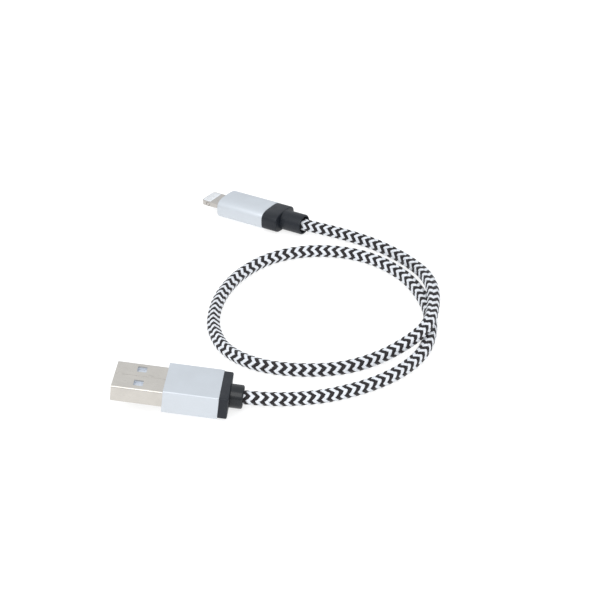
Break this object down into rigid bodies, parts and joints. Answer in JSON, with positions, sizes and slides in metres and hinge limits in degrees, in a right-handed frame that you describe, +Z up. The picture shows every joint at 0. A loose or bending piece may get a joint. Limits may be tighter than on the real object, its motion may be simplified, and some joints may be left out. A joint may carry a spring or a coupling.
{
  "type": "charging cable",
  "caption": "Charging cable with a metal-cased rectangular plug, a small flat reversible tab plug and a round braided cord lying in a loose loop.",
  "frame": {"origin": "middle of the phone plug casing's flat underside, on the table the cable lies on", "axes": "+X along the USB plug's axis in plan, from its nose towards the cord; +Y across the table from the USB plug towards the phone plug; +Z up"},
  "size_m": [0.082, 0.1212, 0.0089],
  "materials": {
    "aluminium_casing": "fine bead-blasted, pale silver",
    "plated_steel": "nickel plated, satin",
    "contact_gold": "gold plated",
    "solder": "bright solder",
    "black_plastic": "matt blue-black",
    "pale_plastic": "satin white",
    "mould_plastic": "natural polyethylene",
    "board": "green circuit board",
    "chip": "black epoxy",
    "ceramic": "tan ceramic",
    "braid": "black and white polyester yarn, woven in zigzags",
    "jacket": "soft white plastic",
    "wire_red": "red insulation",
    "wire_white": "white insulation",
    "wire_green": "green insulation",
    "wire_black": "black insulation"
  },
  "bodies": {
    "root": {"usb_shell": "plated_steel", "usb_tongue": "pale_plastic", "usb_power_contact": "contact_gold", "usb_data_minus_contact": "contact_gold", "usb_data_plus_contact": "contact_gold", "usb_ground_contact": "contact_gold", "usb_solder_joints": "solder", "usb_inner_mould": "mould_plastic", "usb_casing": "aluminium_casing", "usb_end_cap": "black_plastic", "usb_collar": "black_plastic", "usb_crimp_ferrule": "plated_steel", "phone_tab_frame": "plated_steel", "phone_tab_insert": "pale_plastic", "phone_upper_contacts": "contact_gold", "phone_lower_contacts": "contact_gold", "phone_circuit_board": "board", "phone_control_chip": "chip", "phone_capacitors": "ceramic", "phone_solder_joints": "solder", "phone_inner_mould": "mould_plastic", "phone_casing": "aluminium_casing", "phone_end_cap": "black_plastic", "phone_collar": "black_plastic", "phone_crimp_ferrule": "plated_steel", "braided_sleeve": "braid", "inner_jacket": "jacket", "power_wire": "wire_red", "data_minus_wire": "wire_white", "data_plus_wire": "wire_green", "ground_wire": "wire_black"}
  },
  "joints": []
}
